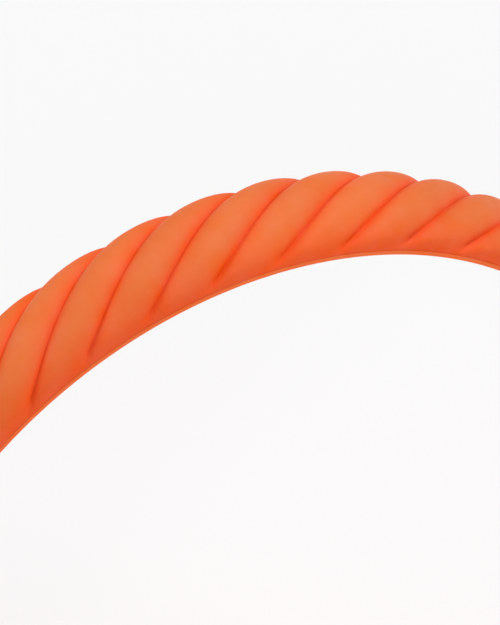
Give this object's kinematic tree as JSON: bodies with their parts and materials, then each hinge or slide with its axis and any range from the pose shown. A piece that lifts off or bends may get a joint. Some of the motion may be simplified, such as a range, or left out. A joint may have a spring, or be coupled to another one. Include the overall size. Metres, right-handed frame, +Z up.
{
  "type": "hair band",
  "caption": "Arched spring band worn over the head, with a smooth inner strip and a rounded outer cover twisted like rope, tapering to two tips.",
  "frame": {"origin": "middle of the crown's inner face, where the band rests on the head", "axes": "+Z up out of the crown, X from ear to ear, -Y the side that faces forward when worn; the two sides are alike"},
  "size_m": [0.1426, 0.0172, 0.1387],
  "materials": {
    "inner_band": "smooth matte orange",
    "twisted_cover": "matte orange, deeper in the grooves"
  },
  "bodies": {
    "root": {"inner_band": "inner_band", "twisted_cover": "twisted_cover"}
  },
  "joints": []
}
